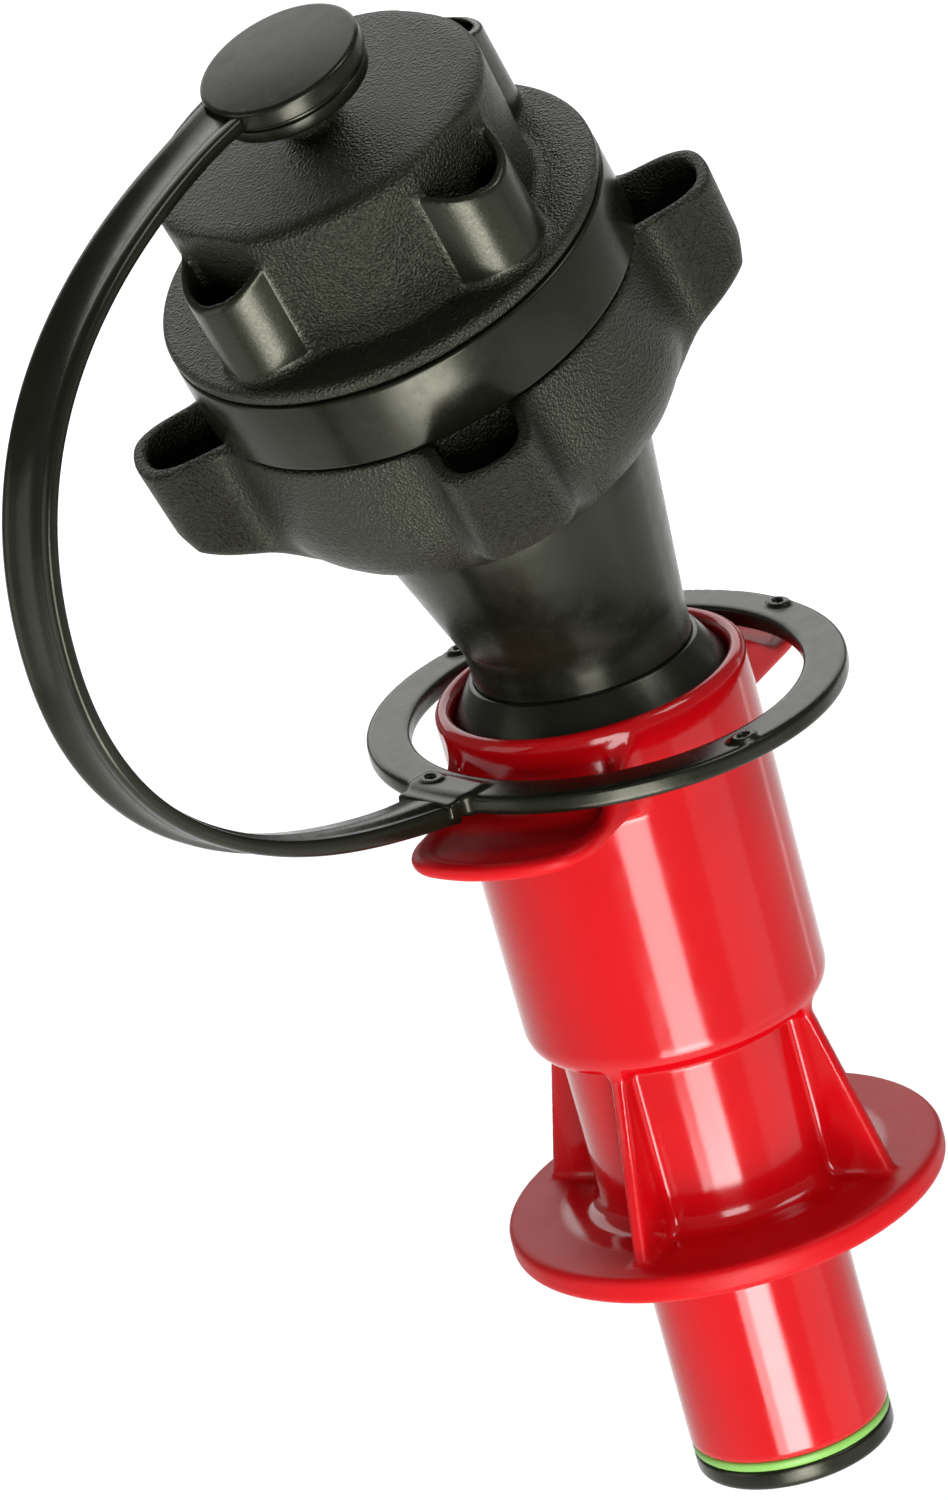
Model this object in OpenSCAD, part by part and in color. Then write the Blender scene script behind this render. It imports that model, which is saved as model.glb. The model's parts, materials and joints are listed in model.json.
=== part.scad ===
// Safety filling spout for a fuel canister: a bent neck with a wing union nut, a screw cap on a tether,
// and a spring-loaded red sleeve that opens a disc valve when its flange is pressed on a tank's mouth.
// Millimetres. +Z runs up the spout's axis, and Z = 0 is the lower end of the red tip.

/* [Spout sleeve] */
// Outer radius of the tip that enters the tank
tip_r = 11.2; // [10.5:0.1:11.6]
// Height of the underside of the seat flange above the tip's end
seat_z = 27; // [24:0.2:30]
// Radius of the seat flange
flange_r = 24.35; // [22:0.05:26]
// Thickness of the seat flange
flange_t = 3.2; // [2.4:0.1:3.4]
// Outer radius of the waist between flange and barrel
waist_r = 13.7; // [13.2:0.1:14.2]
// Outer radius of the barrel at its foot
barrel_foot_r = 16.85; // [16.5:0.05:17]
// Outer radius of the barrel at its lip
barrel_lip_r = 17.2; // [17:0.1:17.6]
// Height of the barrel's foot
barrel_z = 50; // [48:0.5:52]
// Height of the barrel's lip
lip_z = 91.2; // [90.5:0.1:92]
// Bearing of the ribs and finger ears about the spout's axis, in degrees
sleeve_turn = 11.5; // [0:0.5:30]
// Number of ribs between flange and barrel
rib_count = 4; // [3:1:6]
// Thickness of a rib
rib_t = 1.5; // [1.2:0.1:2.4]

/* [Finger ears] */
// Reach of an ear from the spout's axis
ear_reach = 31.2; // [29:0.1:32]
// Half of an ear's width
ear_half_w = 11; // [9:0.1:11.5]
// Height of an ear's underside
ear_z = 81.4; // [80:0.2:82]
// Wall thickness of an ear
ear_wall = 1.4; // [1.2:0.1:1.8]

/* [Neck] */
// Bend between the spout's axis and the nut's axis, in degrees
bend = 17; // [12:1:20]
// Height at which the two axes cross
bend_z = 104.4; // [103:0.2:106]
// Outer radius of the neck where it enters the sleeve
neck_r = 12.1; // [11.9:0.1:12.3]
// Outer radius of the neck where it enters the nut
neck_root_r = 16.4; // [16:0.1:16.5]
// Outer radius of the guide tube inside the sleeve
guide_r = 10.75; // [10.5:0.05:10.8]

/* [Valve] */
// Radius of the valve head below the tip
head_r = 11.15; // [10.8:0.05:11.2]
// Radius of the valve rod
rod_r = 2.2; // [1.8:0.1:2.4]
// Travel of the sleeve from closed to open
travel = 8; // [5:0.5:8]
// Number of turns in the return spring
spring_turns = 7; // [5:1:8]
// Radius of the spring's wire
wire_r = 0.9; // [0.7:0.1:1]

/* [Union nut] */
// Outer radius of the nut and of the smooth band above it
nut_r = 25; // [24:0.2:26]
// Distance of the nut's top face along its axis from the bend
nut_top = 35.4; // [34:0.2:36]
// Reach of a wing's tip from the nut's axis
wing_reach = 34.5; // [33.8:0.1:35]
// Half of a wing's width
wing_half_w = 5.6; // [5:0.1:5.8]
// Wall thickness of a wing
wing_wall = 1.5; // [1.2:0.1:1.8]
// Bearing of the first wing about the nut's axis, in degrees
wing_turn = 48; // [40:1:50]

/* [Cap] */
// Radius of the cap's dome at its top
dome_r = 19; // [18.2:0.1:19.2]
// Distance of the dome's top edge along the nut's axis from the bend
dome_top = 62.6; // [61:0.2:63]
// Reach of a grip lobe from the cap's axis
lobe_reach = 23.7; // [23:0.1:24.2]
// Radius of a grip lobe's nose
lobe_half_w = 4.2; // [3.8:0.1:4.6]
// Bearing of the first grip lobe about the cap's axis, in degrees
lobe_turn = 84.5; // [80:0.5:90]

/* [Tether] */
// Radius of the tether's disc on top of the cap
disc_r = 9; // [8.6:0.1:9.1]
// Distance of the disc's top face along the nut's axis from the bend
disc_top = 70.6; // [70:0.1:71]
// Width of the strap
strap_w = 6.8; // [6:0.2:7.2]
// Thickness of the strap
strap_t = 2; // [1.6:0.1:2.2]
// Inner radius of the tether's ring
ring_in = 21.5; // [21.2:0.1:22]
// Outer radius of the tether's ring
ring_out = 26.3; // [25.8:0.1:26.6]
// Thickness of the tether's ring
ring_t = 2.2; // [2:0.1:2.4]

/* [Hidden] */
$fn = 96;

// Running gap between solids that slide or turn past each other
gap = 0.3;
// Wall of the tip and its bore
tip_bore = tip_r - 1.5;
// Bores of the waist and of the barrel
waist_bore = 11.35;
barrel_bore = 15.35;
waist_bore_z = seat_z + 3.6;
barrel_bore_z = barrel_z + 2;
// Edge and fillet radii of the sleeve
rim_round = 1.4;
foot_round = 2.4;
waist_fillet = 2;
lip_round = 0.9;
// Finger ears: slope of the side walls' top edge, front rim, front arc and corners
ear_slope = 0.66;
ear_crest_z = 89.6;
ear_crest_x = 12;
ear_rim_z = ear_z + 2;
ear_floor_z = ear_z + 1.3;
ear_front_r = 21;
ear_corner_r = 3.4;

// Neck: the guide tube's end, and the collar's seat and cone
guide_end_z = 40;
neck_base_z = 96.5;
neck_seat_z = 88;
guide_bore = 9.2;
neck_bore = 9.6;
spider_seat_z = 86;
collar_top_z = 93.4;
collar_cone_z = 89.8;
collar_foot_z = 85;
collar_r = barrel_bore - gap;
neck_flange_r = 19;
shoulder_s = 17.4;
flange_s = shoulder_s + gap;
neck_flange_t = 2.4;
neck_throat_r = 14.4;
// Small step that keeps the faceted transition clear of the round tubes it joins
step = 0.08;
seal_z = guide_end_z + 3.8;
seal_wire = 0.6;

// Valve head, its ring and its screw, all below the tip
ring_wire = 0.55;
head_top_z = -1.15;
head_foot_z = -3.5;
screw_r = 1.25;
vent_x = 6;
vent_r = 1.7;
vent_bore = 1;
vent_elbow_z = 102.5;
vent_top_len = 50;
spring_mid_r = 13.4;

// Nut: mouth round the neck and thread bore
nut_mouth_r = 16.9;
thread_r = 21.3;
nut_foot = 14.3;
seat_bore = neck_flange_r + 0.4;
seat_bore_top = 20.4;
band_foot = nut_top + 0.15;
band_top = 44.2;
band_bore = 17.9;
spigot_foot = 23;

// Cap: flange, plug and lobes
cap_flange_s = band_top + 0.15;
cap_flange_t = 1.8;
cap_flange_r = 24.9;
cap_deck = cap_flange_s + cap_flange_t;
dome_foot_r = dome_r - 0.6;
dome_round = 2;
dome_crown = 1;
plug_r = band_bore - gap;
plug_foot = 32;
lobe_rim_in = 58.4;
lobe_rim_out = 56.2;
lobe_wall = 1;
lobe_root = 6.3;
pocket_root = 18.2;
knob_r = 3.1;
knob_head_r = 4.1;
knob_head_s = 67;
disc_foot = 66;

// Tether ring: it hangs a little off centre and tilted above the ears
ring_pos = [1.3, -0.6, 88.3];
ring_tilt = [2.7, 1.4, 0];
strap_y = 2.7;
// The strap's route in the plane y = strap_y, as two curves: [x, z] of the ends and handles
upper_route = [[-27, 168.2], [-52, 164.2], [-72.8, 153], [-72.8, 128]];
lower_route = [[-72.8, 128], [-72.8, 104], [-50.5, 92.4], [-25.5, 87.6]];
// Share of each route that belongs to the disc's tab and to the ring's tab
tab_share = 0.06;

// Points of an arc about a centre, from one angle to another
function arc(centre, r, from, to, steps = 8) =
    [for (i = [0:steps]) let (a = from + (to - from) * i / steps) centre + r * [cos(a), sin(a)]];

// Point of a cubic curve, and its direction
function curve(p, t) =
    pow(1 - t, 3) * p[0] + 3 * pow(1 - t, 2) * t * p[1] + 3 * (1 - t) * t * t * p[2] + pow(t, 3) * p[3];
function heading(p, t) =
    let (d = pow(1 - t, 2) * (p[1] - p[0]) + 2 * (1 - t) * t * (p[2] - p[1]) + t * t * (p[3] - p[2]))
    d / norm(d);

// Point of a quadratic curve
function bow(a, b, c, t) = pow(1 - t, 2) * a + 2 * (1 - t) * t * b + t * t * c;

// Places children in the nut's own frame: its Z axis is the nut's axis, from the bend
module on_nut_axis() {
    translate([0, 0, bend_z]) rotate([0, -bend, 0]) children();
}

// A washer or any plain ring
module ring(r_out, r_in, from, to) {
    translate([0, 0, from]) difference() {
        cylinder(h = to - from, r = r_out);
        translate([0, 0, -1]) cylinder(h = to - from + 2, r = r_in);
    }
}

// A ring of round section
module round_ring(r_mid, r_wire, z) {
    translate([0, 0, z]) rotate_extrude() translate([r_mid, 0]) circle(r = r_wire, $fn = 32);
}

// Flat band along part of a route, as wide as the strap
module band(route, from, to, steps = 24) {
    half = strap_t / 2;
    ts = [for (i = [0:steps]) from + (to - from) * i / steps];
    side = function(t, d) let (h = heading(route, t)) curve(route, t) + d * [-h[1], h[0]];
    outline = concat([for (t = ts) side(t, half)], [for (i = [steps:-1:0]) side(ts[i], -half)]);
    translate([0, strap_y, 0]) rotate([90, 0, 0])
        linear_extrude(height = strap_w, center = true) polygon(outline);
}

// ---- Spout sleeve ----

module sleeve_body() {
    rim = [flange_r - rim_round, seat_z + rim_round];
    fillet = [waist_r + waist_fillet, seat_z + flange_t + waist_fillet];
    foot = [barrel_foot_r - foot_round, barrel_z + foot_round];
    lip = [barrel_lip_r - lip_round, lip_z - lip_round];
    rotate_extrude() polygon(concat(
        [[0, 0], [tip_r, 0], [tip_r, seat_z]],
        arc(rim, rim_round, -90, 0, 5),
        arc([rim[0], seat_z + flange_t - rim_round], rim_round, 0, 90, 5),
        arc(fillet, waist_fillet, 270, 180, 6),
        [[waist_r, barrel_z]],
        arc(foot, foot_round, -90, 0, 6),
        arc(lip, lip_round, 0, 90, 5),
        [[0, lip_z]]
    ));
}

module sleeve_bores() {
    translate([0, 0, -1]) cylinder(h = waist_bore_z + 2, r = tip_bore);
    translate([0, 0, waist_bore_z]) cylinder(h = barrel_bore_z - waist_bore_z + 1, r = waist_bore);
    lip = [barrel_bore + lip_round, lip_z - lip_round];
    rotate_extrude() polygon(concat(
        [[0, barrel_bore_z], [barrel_bore, barrel_bore_z]],
        arc(lip, lip_round, 180, 90, 5),
        [[lip[0], lip_z + 2], [0, lip_z + 2]]
    ));
}

// A tapered gusset from the barrel's foot down to the flange
module rib() {
    deck = seat_z + flange_t - 0.3;
    rotate([90, 0, 0]) linear_extrude(height = rib_t, center = true) polygon([
        [waist_r - 1, deck], [21.2, deck], [21.2, deck + 1], [20.6, deck + 1.6],
        [16, barrel_z + 0.4], [waist_r - 1, barrel_z + 0.4]
    ]);
}

// Plan of an ear, grown or shrunk by a margin
module ear_plan(margin) {
    w = ear_half_w + margin;
    r = ear_front_r + margin;
    x0 = ear_reach - ear_front_r;
    c = ear_corner_r + margin;
    a = asin((w - c) / (r - c));
    corner = [x0 + (r - c) * cos(a), (r - c) * sin(a)];
    polygon(concat(
        [[0, -w], [corner[0], -w]],
        arc([corner[0], -corner[1]], c, -90, -a, 5),
        arc([x0, 0], r, -a, a, 10),
        arc(corner, c, a, 90, 5),
        [[corner[0], w], [0, w]]
    ));
}

// A scoop for a finger: a floor, and side walls that rise to the lip
module ear() {
    rim_x = ear_crest_x + (ear_crest_z - ear_rim_z) / ear_slope;
    difference() {
        intersection() {
            translate([0, 0, ear_z]) linear_extrude(height = 12) ear_plan(0);
            rotate([90, 0, 0]) linear_extrude(height = 60, center = true) polygon([
                [0, ear_z], [ear_reach - 0.8, ear_z], [ear_reach + 1, ear_z + 0.8],
                [ear_reach + 1, ear_rim_z - 0.6], [ear_reach - 0.5, ear_rim_z], [rim_x, ear_rim_z],
                [ear_crest_x, ear_crest_z], [0, ear_crest_z]
            ]);
        }
        translate([0, 0, ear_floor_z]) linear_extrude(height = 20) difference() {
            ear_plan(-ear_wall);
            circle(r = barrel_lip_r - 0.4);
        }
    }
}

module spout_sleeve() {
    color("#dd1a24") difference() {
        union() {
            sleeve_body();
            rotate([0, 0, sleeve_turn]) {
                for (i = [0:rib_count - 1]) rotate([0, 0, i * 360 / rib_count]) rib();
                for (side = [0, 180]) rotate([0, 0, side]) ear();
            }
        }
        sleeve_bores();
    }
}

module spring_washer() {
    color("#b9bcc0") ring(barrel_bore - gap, waist_bore + 0.4, barrel_bore_z, barrel_bore_z + 1);
}

// ---- Tether ----

module tether_ring() {
    edge = 0.4;
    color("#34362f") union() {
        translate(ring_pos) rotate(ring_tilt) rotate_extrude() polygon([
            [ring_in, -ring_t + edge], [ring_in + edge, -ring_t], [ring_out - edge, -ring_t],
            [ring_out, -ring_t + edge], [ring_out, -edge], [ring_out - edge, 0],
            [ring_in + edge, 0], [ring_in, -edge]
        ]);
        band(lower_route, 1 - tab_share, 1.04, 4);
    }
}

module strap_upper() {
    color("#34362f") band(upper_route, tab_share + 0.005, 1);
}

module strap_lower() {
    color("#34362f") band(lower_route, 0, 1 - tab_share - 0.005);
}

// The disc clips over the cap's knob and turns on it
module tether_disc() {
    foot = disc_foot;
    groove = foot + 1.7;
    socket_r = knob_head_r + gap;
    color("#34362f") union() {
        on_nut_axis() rotate_extrude() polygon(concat(
            [[knob_r + gap, foot], [disc_r - 0.7, foot], [disc_r - 0.4, foot + 0.3],
             [disc_r - 0.4, groove - 0.1], [disc_r - 1, groove], [disc_r - 1, groove + 0.4],
             [disc_r, groove + 0.6]],
            arc([disc_r - 0.5, disc_top - 0.5], 0.5, 0, 90, 4),
            [[0, disc_top], [0, knob_head_s + 1.4 + gap], [socket_r, knob_head_s + 1.4 + gap],
             [socket_r, knob_head_s - gap], [knob_r + gap, knob_head_s - gap]]
        ));
        intersection() {
            band(upper_route, -0.05, tab_share, 6);
            translate([-60, -10, 100]) cube([31.6, 30, 100]);
        }
    }
}

// ---- Neck and what is fixed in it ----

module neck_outside() {
    hull() {
        on_nut_axis() translate([0, 0, 13.2]) cylinder(h = 0.5, r = neck_root_r, $fn = 72);
        translate([0, 0, neck_base_z]) cylinder(h = 0.5, r = neck_r, $fn = 72);
    }
    translate([0, 0, neck_seat_z]) cylinder(h = neck_base_z - neck_seat_z + 0.2, r = neck_r - step);
    translate([0, 0, guide_end_z]) cylinder(h = neck_seat_z - guide_end_z + 1, r = guide_r);
    on_nut_axis() {
        translate([0, 0, 13.5]) cylinder(h = flange_s - 13, r = neck_root_r - step);
        translate([0, 0, flange_s]) cylinder(h = neck_flange_t, r = neck_flange_r);
    }
}

module neck_inside() {
    hull() {
        on_nut_axis() translate([0, 0, 14]) cylinder(h = 0.5, r = neck_throat_r - step, $fn = 72);
        translate([0, 0, neck_base_z]) cylinder(h = 0.5, r = neck_bore - step, $fn = 72);
    }
    on_nut_axis() translate([0, 0, 14.2]) cylinder(h = 10, r = neck_throat_r);
    translate([0, 0, spider_seat_z]) cylinder(h = neck_base_z - spider_seat_z + 0.3, r = neck_bore);
    translate([0, 0, guide_end_z - 1]) cylinder(h = 60 - 8, r = guide_bore);
}

module neck() {
    color("#1d1e1a") difference() {
        neck_outside();
        neck_inside();
        round_ring(waist_bore - 0.05 - seal_wire, seal_wire + 0.02, seal_z);
    }
}

// Flared collar that guides the neck in the sleeve and holds the spring's upper end
module neck_collar() {
    color("#26271f") rotate_extrude() polygon([
        [guide_r + 0.05, collar_foot_z], [collar_r, collar_foot_z], [collar_r, collar_cone_z - 1],
        [collar_r - 0.2, collar_cone_z], [neck_r + 0.4, collar_top_z], [neck_r, collar_top_z],
        [neck_r, neck_seat_z], [guide_r + 0.05, neck_seat_z]
    ]);
}

module guide_seal() {
    color("#151515") round_ring(waist_bore - 0.05 - seal_wire, seal_wire, seal_z);
}

// A ring on three spokes with a hub for the rod
module spider(r_out, from, to) {
    hub_r = 3.6;
    rim = 1.3;
    difference() {
        union() {
            ring(r_out, r_out - rim, from, to);
            for (a = [60:120:300]) rotate([0, 0, a]) translate([0, -0.8, from])
                cube([r_out - rim / 2, 1.6, to - from]);
            translate([0, 0, from]) cylinder(h = to - from, r = hub_r);
        }
        translate([0, 0, from - 1]) cylinder(h = to - from + 2, r = rod_r + 0.05);
    }
}

module upper_spider() {
    color("#33352e") spider(neck_bore - 0.02, spider_seat_z, spider_seat_z + 4);
}

module lower_spider() {
    color("#33352e") spider(guide_bore - 0.02, guide_end_z + 0.5, guide_end_z + 3.5);
}

module valve_rod() {
    tap = 8;
    color("#c4c6c8") difference() {
        translate([0, 0, head_top_z]) cylinder(h = 97 - head_top_z, r = rod_r);
        translate([0, 0, head_top_z - 1]) cylinder(h = tap + 1, r = screw_r + 0.05);
    }
}

module rod_nut() {
    color("#b9bcc0") translate([0, 0, spider_seat_z + 4]) difference() {
        cylinder(h = 3.2, r = 4, $fn = 6);
        translate([0, 0, -1]) cylinder(h = 6, r = rod_r + 0.05);
    }
}

module rod_clip() {
    color("#b9bcc0") ring(4.2, rod_r + 0.02, spider_seat_z - 0.8, spider_seat_z);
}

// Disc that closes the tip from below, with a boss that centres it in the bore
module valve_head() {
    recess = 1.7;
    color("#232420") rotate_extrude() polygon([
        [screw_r + 0.05, head_foot_z + recess], [3.3, head_foot_z], [head_r - 0.8, head_foot_z],
        [head_r, head_foot_z + 0.8], [head_r, head_top_z - 0.3], [head_r - 0.3, head_top_z],
        [tip_bore - 0.7, head_top_z], [tip_bore - 0.7, 0.6], [tip_bore - 1.7, 1.6],
        [rod_r + 0.05, 1.6], [rod_r + 0.05, head_top_z], [screw_r + 0.05, head_top_z]
    ]);
}

// Green sealing ring between the valve head and the tip
module valve_ring() {
    outer = [tip_r - 0.15 - ring_wire, head_top_z + ring_wire];
    color("#7fbf52") rotate_extrude() polygon(concat(
        arc(outer, ring_wire, -90, 90, 8),
        [[tip_bore - 0.4, outer[1] + ring_wire], [tip_bore - 0.4, outer[1] - ring_wire]]
    ));
}

module valve_screw() {
    color("#b9bcc0") difference() {
        union() {
            translate([0, 0, head_foot_z]) cylinder(h = 1.65, r1 = 3.2, r2 = screw_r);
            translate([0, 0, head_foot_z + 1]) cylinder(h = 8, r = screw_r);
        }
        translate([0, 0, head_foot_z - 1]) cylinder(h = 2.1, r = 1.2, $fn = 6);
    }
}

// Air tube beside the rod: straight up the spout, through an elbow and on along the nut's axis
module vent_tube() {
    color("#d9d8cf") difference() {
        vent_run(vent_r, 0);
        vent_run(vent_bore, 1);
    }
}

module vent_run(r, over) {
    foot = 4;
    translate([vent_x, 0, foot - over]) cylinder(h = vent_elbow_z - foot + over, r = r);
    translate([vent_x, 0, vent_elbow_z]) {
        sphere(r = r);
        rotate([0, -bend, 0]) cylinder(h = vent_top_len + over, r = r);
    }
}

module neck_gasket() {
    s = flange_s + neck_flange_t;
    color("#151515") on_nut_axis() ring(neck_flange_r, neck_throat_r + 0.2, s, s + 1.8);
}

// Return spring: a round wire swept along a helix, with a flattened turn at each end
module return_spring() {
    sides = 8;
    rings = spring_turns * 18;
    low = barrel_bore_z + 1 + wire_r + 0.05;
    high = collar_foot_z - wire_r - 0.05;
    dead = 0.12;
    lift = function(t) min(max((t - dead) / (1 - 2 * dead), 0), 1);
    points = [for (i = [0:rings]) let (t = i / rings, a = 360 * spring_turns * t)
        for (j = [0:sides - 1]) let (b = 360 * j / sides, r = spring_mid_r + wire_r * cos(b))
            [r * cos(a), r * sin(a), low + (high - low) * lift(t) + wire_r * sin(b)]];
    skin = [for (i = [0:rings - 1]) for (j = [0:sides - 1]) let (k = (j + 1) % sides)
        [i * sides + j, (i + 1) * sides + j, (i + 1) * sides + k, i * sides + k]];
    ends = [[for (j = [0:sides - 1]) j], [for (j = [sides - 1:-1:0]) rings * sides + j]];
    color("#c4c6c8") polyhedron(points = points, faces = concat(skin, ends));
}

// ---- Union nut and the ring that adapts it to the cap ----

// Plan of a wing: straight sides and a round tip
module wing_plan(reach, half_w, root) {
    union() {
        translate([root, -half_w]) square([reach - half_w - root, 2 * half_w]);
        translate([reach - half_w, 0]) circle(r = half_w);
    }
}

// Side view of a wing, shrunk by a margin
module wing_side(m) {
    top = nut_top + (m > 0 ? 1 : 0);
    rotate([90, 0, 0]) linear_extrude(height = 40, center = true) polygon([
        [16, 15.5 + m], [23.7, 19.6 + m], [31.2 - m, 23.1 + m], [32.5 - m, 24 + m], [33.3 - m, 25 + m],
        [33.8 - m, 26.6 + m], [wing_reach - m, top], [16, top]
    ]);
}

module wing(m) {
    intersection() {
        translate([0, 0, 10]) linear_extrude(height = nut_top - 10 + (m > 0 ? 1 : 0))
            wing_plan(wing_reach - m, wing_half_w - m, m > 0 ? thread_r + 2.3 : 18);
        wing_side(m);
    }
}

module union_nut() {
    shoulder = [for (i = [0:10]) bow([nut_mouth_r, nut_foot], [nut_r, 19.5], [nut_r, 25], i / 10)];
    color("#2b2c26") on_nut_axis() difference() {
        union() {
            rotate_extrude() polygon(concat(
                [[0, nut_foot]], shoulder,
                [[nut_r, nut_top - 0.3], [nut_r - 0.3, nut_top], [0, nut_top]]
            ));
            for (i = [0:3]) rotate([0, 0, wing_turn + 90 * i]) wing(0);
        }
        translate([0, 0, 10]) cylinder(h = 20, r = nut_mouth_r);
        rotate_extrude() polygon([
            [0, shoulder_s], [seat_bore, shoulder_s], [seat_bore, seat_bore_top],
            [thread_r, seat_bore_top + 1.6], [thread_r, 60], [0, 60]
        ]);
        translate([0, 0, nut_top - 1.6]) cylinder(h = 5, r = thread_r + 1.4);
        for (i = [0:3]) rotate([0, 0, wing_turn + 90 * i]) wing(wing_wall);
    }
}

module adapter_ring() {
    color("#30312b") on_nut_axis() rotate_extrude() polygon([
        [band_bore, spigot_foot], [thread_r - 0.1, spigot_foot], [thread_r - 0.1, band_foot],
        [nut_r - 0.3, band_foot], [nut_r - 0.05, band_foot + 0.3], [nut_r - 0.05, band_top - 0.3],
        [nut_r - 0.3, band_top], [21.2, band_top], [21.2, band_top - 0.7], [band_bore, band_top - 0.7]
    ]);
}

module adapter_seal() {
    color("#151515") on_nut_axis() round_ring(thread_r + 0.65, 0.62, nut_top - 0.8);
}

// ---- Cap ----

module cap_outside() {
    top = [dome_r - dome_round, dome_top - dome_round];
    crown = [for (i = [0:4]) [top[0] * (1 - i / 4), dome_top + dome_crown * (1 - pow(1 - i / 4, 2))]];
    rotate_extrude() polygon(concat(
        [[0, plug_foot], [plug_r - 0.6, plug_foot], [plug_r, plug_foot + 0.6], [plug_r, cap_flange_s]],
        [[cap_flange_r - 0.3, cap_flange_s], [cap_flange_r, cap_flange_s + 0.3]],
        arc([cap_flange_r - 0.8, cap_deck - 0.8], 0.8, 0, 90, 4),
        arc([dome_foot_r + 1, cap_deck + 1], 1, 270, 180, 4),
        arc(top, dome_round, 0, 80, 8),
        crown
    ));
    translate([0, 0, dome_top - 1]) cylinder(h = knob_head_s - dome_top + 1.5, r = knob_r);
    translate([0, 0, knob_head_s]) cylinder(h = 1.4, r1 = knob_head_r, r2 = knob_r);
    for (i = [0:3]) rotate([0, 0, lobe_turn + 90 * i]) lobe(0);
}

// A grip lobe whose rim slopes down outwards, shrunk by a margin for its pocket
module lobe(m) {
    over = m > 0 ? 5 : 0;
    foot = m > 0 ? cap_deck + 1.2 : cap_deck - 0.5;
    root = m > 0 ? pocket_root : 16;
    nose = lobe_half_w - m;
    centre = lobe_reach - lobe_half_w;
    turn = 26.5;
    half = lobe_root + (18 - root) * 0.5 - m * 1.12;
    intersection() {
        translate([0, 0, foot]) linear_extrude(height = 16 + over) polygon(concat(
            [[root, -half]], arc([centre, 0], nose, -90 + turn, 90 - turn, 12), [[root, half]]
        ));
        rotate([90, 0, 0]) linear_extrude(height = 20, center = true) polygon([
            [10, cap_deck - 1], [30, cap_deck - 1],
            [30, lobe_rim_out - 2.6 + over], [10, lobe_rim_in + 3.6 + over]
        ]);
    }
}

module cap() {
    wall = 2;
    color("#2b2c26") on_nut_axis() difference() {
        cap_outside();
        translate([0, 0, plug_foot - 1]) cylinder(h = cap_deck - plug_foot + 1, r = plug_r - wall);
        translate([0, 0, cap_deck - 0.5]) cylinder(h = dome_top - wall - cap_deck + 0.5, r = pocket_root - 2.6);
        for (i = [0:3]) rotate([0, 0, lobe_turn + 90 * i]) lobe(lobe_wall);
    }
}

module cap_gasket() {
    color("#151515") on_nut_axis() ring(20.9, plug_r + 0.1, band_top - 0.55, cap_flange_s);
}

spout_sleeve();
spring_washer();
tether_ring();
neck();
neck_collar();
guide_seal();
upper_spider();
lower_spider();
valve_rod();
rod_nut();
rod_clip();
valve_head();
valve_ring();
valve_screw();
vent_tube();
neck_gasket();
strap_upper();
strap_lower();
return_spring();
union_nut();
adapter_ring();
adapter_seal();
cap();
cap_gasket();
tether_disc();
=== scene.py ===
"""Looks for the canister filling spout valve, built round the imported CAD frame.

Shapes are written in millimetres and become metres when a mesh is made. Moulded pieces with fillets
are distance fields, meshed on a grid and pulled on to the true surface. Turned pieces are lathed and
the strap is swept.
"""

import json
import math

import bmesh
import bpy
import numpy as np
from mathutils import Matrix, Vector


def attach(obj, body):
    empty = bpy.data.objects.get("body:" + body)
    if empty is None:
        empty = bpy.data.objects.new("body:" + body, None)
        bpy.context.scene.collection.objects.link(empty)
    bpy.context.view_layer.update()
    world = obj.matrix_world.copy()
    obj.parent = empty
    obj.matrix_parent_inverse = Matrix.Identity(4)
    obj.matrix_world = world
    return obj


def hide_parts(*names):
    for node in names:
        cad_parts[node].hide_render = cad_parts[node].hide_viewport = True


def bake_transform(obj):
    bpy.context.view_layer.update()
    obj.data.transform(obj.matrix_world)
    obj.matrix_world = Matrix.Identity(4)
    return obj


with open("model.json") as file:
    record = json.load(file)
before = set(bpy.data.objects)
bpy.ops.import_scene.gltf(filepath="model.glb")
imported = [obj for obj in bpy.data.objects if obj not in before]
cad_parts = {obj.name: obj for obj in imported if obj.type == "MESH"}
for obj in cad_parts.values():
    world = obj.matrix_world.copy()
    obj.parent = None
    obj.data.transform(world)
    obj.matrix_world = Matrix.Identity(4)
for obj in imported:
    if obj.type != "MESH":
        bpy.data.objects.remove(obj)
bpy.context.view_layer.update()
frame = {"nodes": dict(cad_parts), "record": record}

MM = 0.001
BEND = math.radians(17)
BEND_Z = 104.4
TURN = Matrix.Translation((0, 0, BEND_Z)) @ Matrix.Rotation(-BEND, 4, "Y")


# ---------------------------------------------------------------- distance fields


def smin(a, b, k):
    h = np.maximum(k - np.abs(a - b), 0) / k
    return np.minimum(a, b) - h * h * k / 4


def smax(a, b, k):
    return -smin(-a, -b, k)


def rod(rho, z, r, z0, z1, edge):
    """Capped cylinder with rounded edges, from the radius and height of each point."""
    dx = rho - r + edge
    dz = np.abs(z - (z0 + z1) / 2) - (z1 - z0) / 2 + edge
    return np.minimum(np.maximum(dx, dz), 0) + np.hypot(np.maximum(dx, 0), np.maximum(dz, 0)) - edge


def taper(rho, z, r0, r1, z0, z1, low, high):
    """Capped cone with its own rounding at each end."""
    slope = (r1 - r0) / (z1 - z0)
    side = (rho - r0 - slope * (z - z0)) / math.hypot(1, slope)
    return smax(smax(side, z0 - z, low), z - z1, high)


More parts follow.
